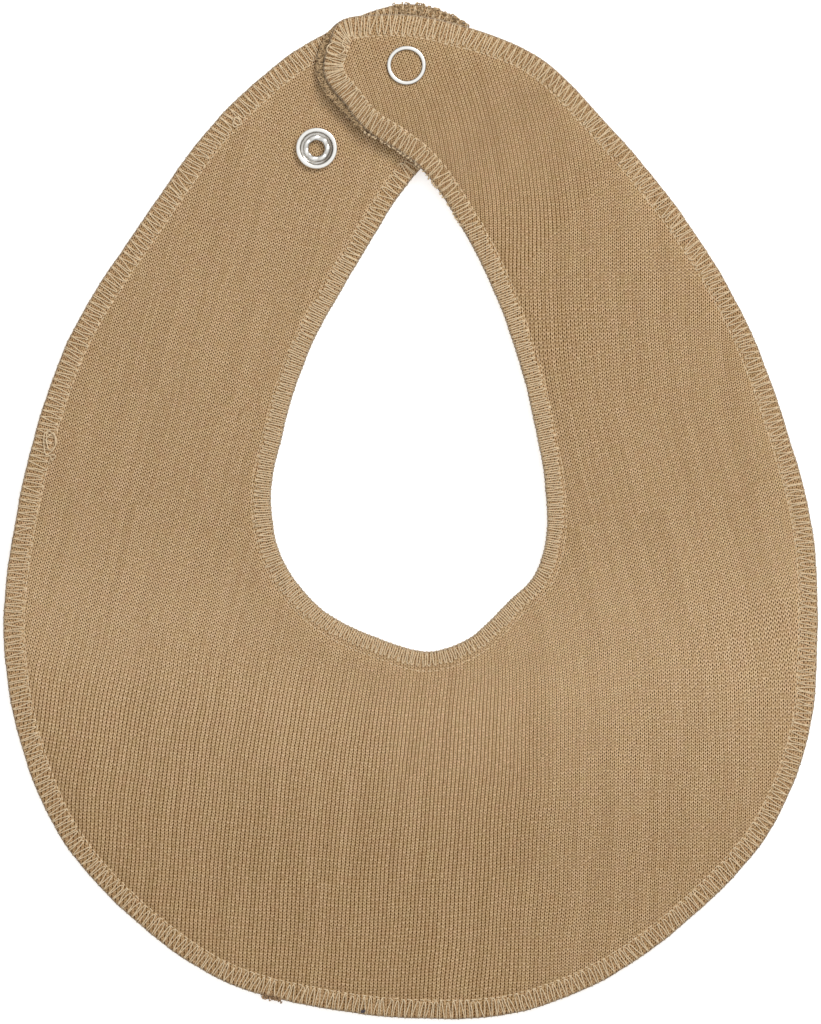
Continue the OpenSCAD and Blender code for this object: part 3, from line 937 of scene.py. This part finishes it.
# ------------ stitching
threads = {"main": [], "flap": []}
runs = {
    "outer": ("main", float(s_of(SEAM_OUT - NR)), float(s_of(14.6)), ["_apron", "_left_arm", "_right_arm"]),
    "neck": ("main", float(s_of(14.6)), float(s_of(SEAM_IN)), ["_apron_neck", "_right_neck"]),
    "flap": ("flap", float(s_of(SEAM_IN)), float(s_of(SEAM_OUT)), ["_flap"]),
}
for k, (run, (part, s0, s1, tails)) in enumerate(runs.items()):
    for kind, radius, (path, deep) in (
        ("upper_looper", TR, looper(s0, s1, part, 1, 40 + k)),
        ("lower_looper", TR, looper(s0, s1, part, -1, 50 + k)),
        ("needle_thread", TR * (0.75 if run == "neck" else 1.0), needle(s0, s1, part, 1, 60 + k)),
    ):
        o = thread(f"{kind}_along_{run}", path, radius, 6, deep)
        threads[part].append(dress(o, mat_thread, "sewing_thread", [kind + x for x in tails], part))

# ------------ yarn loops
def face_at(xy, part):
    """z of the cloth's face over any place."""
    d = depth_of(xy, part)
    return heights(xy[:, 0], xy[:, 1], d, np.full(len(xy), NEEDLE), part)[3]


rng = np.random.default_rng(77)
GAP = 2.25         # between the loops of the back, in mm
EDGE_ROOM, SNAP_ROOM = 5.4, 5.6      # no loops nearer than this to the edge or to a snap's middle
terry_pieces = {}
for part in ("main", "flap"):
    a = outlines[part]
    lo, hi = a.min(0), a.max(0)
    gx, gy = np.meshgrid(np.arange(lo[0], hi[0], GAP), np.arange(lo[1], hi[1], GAP * 0.87))
    gx = gx + (np.arange(gx.shape[0]) % 2)[:, None] * GAP * 0.5
    g = np.stack([gx.ravel(), gy.ravel()], 1)
    g += rng.normal(0, GAP * 0.13, g.shape)
    g = g[within(g, a, np.roll(a, -1, 0))]
    d = depth_of(g, part)
    k = d > EDGE_ROOM
    for c in (FAR, NEAR):
        k &= np.hypot(g[:, 0] - c[0], g[:, 1] - c[1]) > SNAP_ROOM
    g, d = g[k], d[k]
    z = heights(g[:, 0], g[:, 1], d, np.full(len(g), NEEDLE), part)[0]
    out = np.column_stack([rng.normal(0, 0.9, len(g)), rng.normal(0, 0.9, len(g)), np.full(len(g), -0.8)])
    size = rng.uniform(0.75, 1.15, len(g))
    drop = 0.8 / np.linalg.norm(out, axis=1)
    tall = np.minimum(size * 1.2, 0.42 / drop)
    o = loops("terry_" + part, np.column_stack([g, z + 0.05]), out, size * 1.5, tall, 0.15, 5)
    terry_pieces[part] = [dress(o, mat_loops, "looped_cotton", ["back_" + q for q in CAD_PARTS[part]], part)]


def edge_loops(name, part, mat, node, seed, span, count, deep, high, size, rise, radius=0.14):
    """Loops that crowd along a stretch of the edge and lean out past it."""
    r = np.random.default_rng(seed)
    s = r.uniform(float(s_of(span[0])), float(s_of(span[1])), count)
    d = deep[0] + (deep[1] - deep[0]) * r.uniform(0, 1, count) ** 1.2
    p = at(s, d)
    away = at(s, np.zeros(count)) - at(s, np.ones(count))
    u = from_bend(p[:, 0], p[:, 1])
    base = under(u) - droop(u) if part == "flap" else 0.0
    z = base + high[0] + (high[1] - high[0]) * r.uniform(0, 1, count)
    lean = away * r.uniform(0.2, 1.0, (count, 1)) + r.normal(0, 0.45, (count, 2))
    out = np.column_stack([lean, np.abs(r.normal(rise, 0.35, count))])
    k = r.uniform(size[0], size[1], count)
    o = loops(name, np.column_stack([p, z]), out, k * 1.1, k * 0.75, radius, seed + 1, 7, 5)
    return dress(o, mat, "sewing_thread" if mat is mat_thread else "looped_cotton", [node], part)


terry_pieces["flap"].append(edge_loops(
    "terry_lip", "flap", mat_lip, "back_flap", 91, span=(34.75, 36.9), count=560,
    deep=(0.35, 2.0), high=(0.8, 1.4), size=(0.55, 1.0), rise=0.5))
terry_pieces["main"].append(edge_loops(
    "terry_arm_end", "main", mat_lip, "back_left_arm", 93, span=(12.74, 14.4), count=460,
    deep=(0.0, 3.2), high=(0.9, 2.3), size=(0.5, 1.0), rise=0.6))
terry_pieces["main"].append(edge_loops(
    "terry_tuft", "main", mat_loops, "back_apron", 95, span=(1.42, 1.62), count=60,
    deep=(-0.3, 0.9), high=(0.8, 2.0), size=(0.5, 1.0), rise=0.3))


def strand(name, path, lift, part, node, seed, mat=mat_thread):
    """A loose thread that lies on the face along a flat path."""
    q = smooth(np.asarray(path, float), 5)
    z = face_at(q[:, :2], part) + lift + 0.12 * np.sin(np.arange(len(q)) * 0.55 + seed)
    dress(thread(name, np.column_stack([q[:, :2], z]), TR), mat, "sewing_thread", [node], part)


def tangle(name, centre, spread, node, seed, turns=14, mat=mat_thread):
    """A snarled end of thread on the main sheet."""
    r = np.random.default_rng(seed)
    a = np.cumsum(r.uniform(0.5, 1.5, turns))
    x = centre[0] + spread[0] * np.cos(a) * r.uniform(0.3, 1, turns)
    y = centre[1] + spread[1] * np.sin(a) * r.uniform(0.3, 1, turns)
    strand(name, np.column_stack([x, y]), 0.4, "main", node, seed, mat)


# a loose loop at the flap's tip: out of the seam, once round, and back
ang = np.radians(np.linspace(-60, 400, 15))
coil = np.column_stack([-18.7 + (2.1 + 0.12 * np.cos(2 * ang)) * np.cos(ang),
                        115.7 + (1.65 + 0.1 * np.sin(ang)) * np.sin(ang)])
loop = np.vstack([[(-15.6, 113.9), (-17.0, 114.4)], coil, [(-16.2, 118.6), (-15.0, 117.2)]])
strand("loose_loop", loop, 0.42, "flap", "upper_looper_flap", 2)
tangle("tangle_side", (-90.2, 17.5), (2.0, 4.0), "upper_looper_left_arm", 4, 15)
tangle("tangle_knot", (-89.6, 13.8), (1.1, 1.1), "upper_looper_left_arm", 8)
tangle("tangle_shoulder", (-43.5, 97.8), (1.9, 1.6), "upper_looper_left_arm", 6)
mat_dark = cotton("dark_thread", lin(96, 88, 92), lin(48, 42, 46))
tangle("dark_end", (-11.9, -125.0), (0.55, 0.45), "upper_looper_apron", 12, mat=mat_dark)
edge_loops("edge_knots", "flap", mat_thread, "upper_looper_flap", 97, span=(33.25, 34.75), count=60,
           deep=(-0.15, 0.1), high=(1.35, 1.8), size=(0.42, 0.6), rise=0.8, radius=0.15)

# ------------ snaps
def band(cx, cz, rx, rz):
    """A half round with a flattened crown."""
    out = []
    for a in np.linspace(0, math.pi, 21):
        c, s = math.cos(a), math.sin(a)
        out.append((cx + rx * math.copysign(abs(c) ** 0.62, c), cz + rz * abs(s) ** 0.62))
    return out


def upright(profile, z):
    """A profile raised by z."""
    return [(r, z + q) for r, q in profile]


def upended(profile, z):
    """A profile turned upside down, hanging from z."""
    return [(r, z - q) for r, q in profile][::-1]


def about(v, place):
    """Distance and angle of points from a snap's axis."""
    x, y = v[:, 0] - place[0], v[:, 1] - place[1]
    return np.hypot(x, y), np.arctan2(y, x)


def petals(a):
    """The seven slightly uneven lobes of a socket's spring, -1 to 1."""
    return np.cos(7 * a + 0.6 + 0.25 * np.sin(2 * a))


RING = 4.37                 # middle radius of a prong ring
ring = band(RING, 0.0, 0.53, 0.60) + [(3.84, -0.1), (4.35, -0.12), (4.86, -0.1)]
TOP = STAND + T             # the flap's face over the snap


def ring_sides(v):
    """Painted shade lines where the flap's ring meets the cloth, inside and outside."""
    return ease((np.abs(about(v, NEAR)[0] - RING) - 0.40) / 0.10)


merge("flap_ring", [lathe(upright(ring, TOP + 0.02), NEAR)] + prongs(NEAR, STAND - 0.15, TOP + 0.1),
      "flap", ["flap_prong_ring"], ring_sides)
stud = [
    (0.01, T + 0.1), (1.6, T + 0.1), (1.95, T + 0.16), (2.08, T + 0.26), (2.1, T + 0.34), (2.02, T + 0.45),
    (1.8, T + 0.57), (1.75, T + 0.66), (1.75, STAND - 0.35), (1.85, STAND - 0.26), (3.2, STAND - 0.25),
    (3.4, STAND - 0.42), (4.0, STAND - 0.42), (4.7, STAND - 0.25), (4.88, STAND - 0.15),
    (4.8, STAND - 0.02), (0.01, STAND - 0.02)]
merge("snap_stud", [lathe(stud, NEAR, closed=False)], "flap", ["stud"])


def socket(name, place):
    """A socket with its spring in the arm's face, and the prong ring behind it."""
    rim = band(4.63, 1.03, 0.57, 0.55) + [
        (4.06, 0.84), (4.0, 0.68), (3.6, 0.62), (2.35, 0.6), (2.3, 0.15), (2.35, 0.02), (4.9, 0.0),
        (5.12, 0.12), (5.2, 0.5)]
    spring = arc(2.68, 0.92, 0.70, 0.44, 200, -20, 23)[::-1]
    spring = [(2.5, 0.33), (3.3, 0.33)] + spring + [(1.98, 0.68), (2.5, 0.66)]

    def groove(v):
        r, a = about(v, place)
        # painted shade inside the rim, deepest on the right side, the wall turned away from the lamp
        shaded = 0.42 + 0.58 * ease(np.cos(a + 0.1) * 1.6 - 0.4)
        return ease((4.16 - r) / 0.14) * (v[:, 2] > T + 0.5) * shaded

    def creases(v):
        # painted shade at the spring's outer and inner edges and between its lobes
        r, a = about(v, place)
        lobe = 0.5 - 0.5 * petals(a)
        return np.clip(0.45 * ease((r - 3.05) / 0.3) + 0.6 * ease((2.15 - r) / 0.2) + 0.5 * lobe ** 3, 0, 1)

    def lobes(a, r, z):
        w = petals(a)
        f = np.clip((z - T - 0.66) / 0.5, 0, 1)
        out = np.clip((r - 2.3) / 1.0, 0, 1)
        swell = 0.13 * w * np.sin(np.clip((r - 1.95) / 1.45, 0, 1) * math.pi)
        return r + 0.10 * w * out * f, z + (swell + 0.03 * np.sin(3 * a + 1)) * f

    merge("socket_" + name, [lathe(upright(rim, T), place, 128)], "collar", [name + "_socket"], groove)
    merge("coil_" + name, [lathe(upright(spring, T), place, 140, ripple=lobes)],
          "collar", [name + "_socket_spring"], creases)
    merge("back_ring_" + name, [lathe(upended(ring, 0.70), place)] + prongs(place, 0.6, T + 0.95),
          "collar", [name + "_prong_ring"])


socket("near", NEAR)
socket("far", FAR)

# ------------ light and camera
world = bpy.data.worlds.new("studio")
bpy.context.scene.world = world
world.use_nodes = True
wn = world.node_tree
bg = wn.nodes["Background"]
co, sep, rp = (wn.nodes.new(k) for k in ("ShaderNodeTexCoord", "ShaderNodeSeparateXYZ", "ShaderNodeValToRGB"))
wn.links.new(co.outputs["Generated"], sep.inputs[0])
half = wn.nodes.new("ShaderNodeMath")
half.operation = "MULTIPLY_ADD"
half.inputs[1].default_value = half.inputs[2].default_value = 0.5
wn.links.new(sep.outputs[2], half.inputs[0])
wn.links.new(half.outputs[0], rp.inputs[0])
wn.links.new(rp.outputs[0], bg.inputs["Color"])
while len(rp.color_ramp.elements) < 5:
    rp.color_ramp.elements.new(0.5)
# bright overhead, dim at the horizon
SKY = (0.5, 0.06), (0.62, 0.14), (0.76, 0.42), (0.88, 0.90), (1.0, 1.0)
for e, (z, v) in zip(rp.color_ramp.elements, SKY):
    e.position, e.color = z, (v, v, v, 1)
bg.inputs["Strength"].default_value = 0.935
# what shows behind the floor is plain and pale; it doesn't light the bib
pale, path, pick = (wn.nodes.new("ShaderNode" + k) for k in ("Background", "LightPath", "MixShader"))
pale.inputs["Color"].default_value = (0.97, 0.97, 0.97, 1)
wn.links.new(path.outputs["Is Camera Ray"], pick.inputs[0])
wn.links.new(bg.outputs[0], pick.inputs[1])
wn.links.new(pale.outputs[0], pick.inputs[2])
wn.links.new(pick.outputs[0], wn.nodes["World Output"].inputs[0])

FLOOR = 4.0, -0.0006        # half its side, and its height: the loops reach 0.46 mm below the CAD's base
corners = [(x * FLOOR[0], y * FLOOR[0], FLOOR[1]) for x, y in ((-1, -1), (1, -1), (1, 1), (-1, 1))]
fl = mesh_object("floor", corners, [(0, 1, 2, 3)], False)
fm = Nodes("floor_white")
fm.set(Base_Color=(0.97, 0.97, 0.97, 1), Roughness=1.0, Specular_IOR_Level=0.0)
fm.bsdf.inputs["Emission Color"].default_value = (1, 1, 1, 1)
fm.bsdf.inputs["Emission Strength"].default_value = 0.5
fl.data.materials.append(fm.mat)


def area(name, place, size, power):
    """A round lamp that points at the bib's middle."""
    d = bpy.data.lights.new(name, "AREA")
    d.shape, d.size, d.energy = "DISK", size, power
    o = bpy.data.objects.new(name, d)
    o.location = place
    o.rotation_mode = "QUATERNION"
    o.rotation_quaternion = (-Vector(place)).to_track_quat("-Z", "Y")
    bpy.context.scene.collection.objects.link(o)


area("key", (0.52, 0.70, 0.76), 0.55, 5.8)

cam = bpy.data.cameras.new("camera")
LENS, SENSOR = 200, 36
VIEW = 0.2565               # metres of cloth from the picture's top to its bottom
cam.lens, cam.sensor_width = LENS, SENSOR
camo = bpy.data.objects.new("camera", cam)
camo.location = (0, 0, VIEW * LENS / SENSOR + 0.002)
bpy.context.scene.collection.objects.link(camo)
bpy.context.scene.camera = camo
cam.clip_start, cam.clip_end = 0.05, 20
film = bpy.context.scene.view_settings
film.view_transform = "Standard"
film.look = "None"
film.exposure = 0
film.gamma = 1
